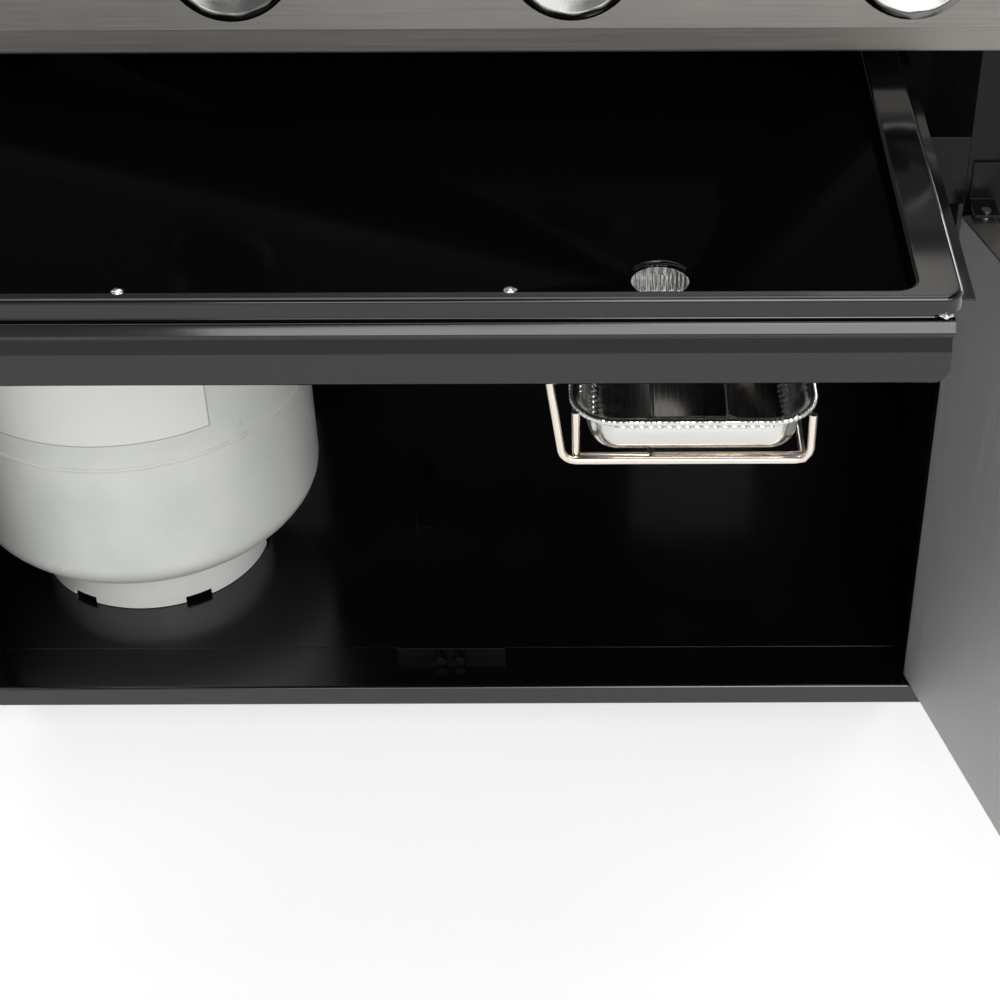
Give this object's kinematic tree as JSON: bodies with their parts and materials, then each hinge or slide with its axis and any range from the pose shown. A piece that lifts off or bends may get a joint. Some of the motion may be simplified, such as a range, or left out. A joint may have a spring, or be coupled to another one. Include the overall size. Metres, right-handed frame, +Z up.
{
  "type": "gas grill",
  "caption": "Gas grill on a two-door cabinet with a pull-out grease tray over a foil drip pan, a hinged lid, side shelves, casters and a gas cylinder inside.",
  "frame": {"origin": "middle of the grill's footprint at ground level, measured on its bounding box with the tray pulled out and both doors open", "axes": "+Z up, +X to the right as seen from the front, +Y from the front to the back; the doors, the tray and the knobs face -Y"},
  "size_m": [1.44, 0.8526, 1.175],
  "materials": {
    "black_enamel": "gloss",
    "tray_enamel": "gloss",
    "cabinet_paint": "satin",
    "brushed_stainless": "brushed",
    "liner_steel": "brushed",
    "stainless_parts": "satin",
    "firebox_enamel": "satin",
    "grate_iron": "enamelled",
    "zinc_steel": "plated",
    "valve_brass": "machined",
    "chrome_trim": "polished",
    "handle_steel": "satin",
    "holder_wire": "bright",
    "foil": "rolled",
    "black_casting": "satin",
    "knob_plastic": "satin",
    "cylinder_paint": "gloss",
    "wheel_rubber": "matte"
  },
  "bodies": {
    "cabinet": {"front_rail": "black_enamel", "bottom_shelf": "black_enamel", "base_channels": "cabinet_paint", "side_panel_left": "cabinet_paint", "side_panel_right": "cabinet_paint", "back_panel": "cabinet_paint", "front_valance": "cabinet_paint", "hinge_brackets": "cabinet_paint", "door_catch": "cabinet_paint", "tray_rail_left": "cabinet_paint", "tray_rail_right": "cabinet_paint", "cylinder_guide": "cabinet_paint", "firebox": "firebox_enamel", "burners": "stainless_parts", "heat_tents": "stainless_parts", "cooking_grate_left": "grate_iron", "cooking_grate_right": "grate_iron", "warming_rack": "stainless_parts", "gas_manifold": "zinc_steel", "burner_valves": "valve_brass", "control_panel": "brushed_stainless", "knob_bezels": "chrome_trim", "side_shelf_left": "brushed_stainless", "side_shelf_right": "brushed_stainless", "shelf_brackets": "cabinet_paint", "lid_hinges": "cabinet_paint"},
    "lid": {"lid_shell": "brushed_stainless", "lid_end_left": "black_casting", "lid_end_right": "black_casting", "lid_handle": "handle_steel", "lid_handle_posts": "black_casting", "thermometer": "chrome_trim"},
    "door_left": {"door_left": "brushed_stainless", "door_liner_left": "liner_steel", "door_pins_left": "zinc_steel", "door_handle_left": "handle_steel"},
    "door_right": {"door_right": "brushed_stainless", "door_liner_right": "liner_steel", "door_pins_right": "zinc_steel", "door_handle_right": "handle_steel"},
    "grease_tray": {"grease_tray": "tray_enamel", "tray_handle": "tray_enamel", "pan_holder": "holder_wire"},
    "foil_pan": {"foil_pan": "foil"},
    "gas_cylinder": {"cylinder_shell": "cylinder_paint", "cylinder_foot_ring": "cylinder_paint", "cylinder_collar": "cylinder_paint", "cylinder_valve": "valve_brass"},
    "knob_1": {"knob_1": "knob_plastic"},
    "caster_1": {"caster_fork_1": "zinc_steel"},
    "wheel_1": {"caster_wheel_1": "wheel_rubber"},
    "knob_2": {"knob_2": "knob_plastic"},
    "caster_2": {"caster_fork_2": "zinc_steel"},
    "wheel_2": {"caster_wheel_2": "wheel_rubber"},
    "knob_3": {"knob_3": "knob_plastic"},
    "caster_3": {"caster_fork_3": "zinc_steel"},
    "wheel_3": {"caster_wheel_3": "wheel_rubber"},
    "knob_4": {"knob_4": "knob_plastic"},
    "caster_4": {"caster_fork_4": "zinc_steel"},
    "wheel_4": {"caster_wheel_4": "wheel_rubber"}
  },
  "joints": [
    {"name": "door_right_hinge", "type": "hinge", "parent": "cabinet", "child": "door_right", "pos_m": [0.4047, -0.03466, 0.3], "axis": [0, 0, 1], "range_deg": [-105.9, 12]},
    {"name": "door_left_hinge", "type": "hinge", "parent": "cabinet", "child": "door_left", "pos_m": [-0.4047, -0.03466, 0.3], "axis": [0, 0, -1], "range_deg": [-105.9, 12]},
    {"name": "tray_slide", "type": "slide", "parent": "cabinet", "child": "grease_tray", "axis": [0, 1, 0], "range_m": [0, 0.317]},
    {"name": "foil_pan_slide", "type": "slide", "parent": "grease_tray", "child": "foil_pan", "axis": [0, -1, 0], "range_m": [0, 0.2]},
    {"name": "lid_hinge", "type": "hinge", "parent": "cabinet", "child": "lid", "pos_m": [0, 0.41134, 0.897], "axis": [-1, 0, 0], "range_deg": [0, 80]},
    {"name": "knob_1_turn", "type": "hinge", "parent": "cabinet", "child": "knob_1", "pos_m": [-0.33, -0.06672, 0.7688], "axis": [0, -0.9659, 0.2588], "range_deg": [0, 120]},
    {"name": "knob_2_turn", "type": "hinge", "parent": "cabinet", "child": "knob_2", "pos_m": [-0.11, -0.06672, 0.7688], "axis": [0, -0.9659, 0.2588], "range_deg": [0, 120]},
    {"name": "knob_3_turn", "type": "hinge", "parent": "cabinet", "child": "knob_3", "pos_m": [0.11, -0.06672, 0.7688], "axis": [0, -0.9659, 0.2588], "range_deg": [0, 120]},
    {"name": "knob_4_turn", "type": "hinge", "parent": "cabinet", "child": "knob_4", "pos_m": [0.33, -0.06672, 0.7688], "axis": [0, -0.9659, 0.2588], "range_deg": [0, 120]},
    {"name": "caster_1_swivel", "type": "hinge", "parent": "cabinet", "child": "caster_1", "pos_m": [-0.395, 0.06634, 0.08], "axis": [0, 0, 1], "continuous": true},
    {"name": "wheel_1_spin", "type": "hinge", "parent": "caster_1", "child": "wheel_1", "pos_m": [-0.395, 0.08434, 0.0375], "axis": [1, 0, 0], "continuous": true},
    {"name": "caster_2_swivel", "type": "hinge", "parent": "cabinet", "child": "caster_2", "pos_m": [0.395, 0.06634, 0.08], "axis": [0, 0, 1], "continuous": true},
    {"name": "wheel_2_spin", "type": "hinge", "parent": "caster_2", "child": "wheel_2", "pos_m": [0.395, 0.08434, 0.0375], "axis": [1, 0, 0], "continuous": true},
    {"name": "caster_3_swivel", "type": "hinge", "parent": "cabinet", "child": "caster_3", "pos_m": [-0.395, 0.35634, 0.08], "axis": [0, 0, 1], "continuous": true},
    {"name": "wheel_3_spin", "type": "hinge", "parent": "caster_3", "child": "wheel_3", "pos_m": [-0.395, 0.37434, 0.0375], "axis": [1, 0, 0], "continuous": true},
    {"name": "caster_4_swivel", "type": "hinge", "parent": "cabinet", "child": "caster_4", "pos_m": [0.395, 0.35634, 0.08], "axis": [0, 0, 1], "continuous": true},
    {"name": "wheel_4_spin", "type": "hinge", "parent": "caster_4", "child": "wheel_4", "pos_m": [0.395, 0.37434, 0.0375], "axis": [1, 0, 0], "continuous": true},
    {"name": "cylinder_slide", "type": "slide", "parent": "cabinet", "child": "gas_cylinder", "axis": [0.4, -0.9165, 0], "range_m": [0, 0.45]}
  ]
}
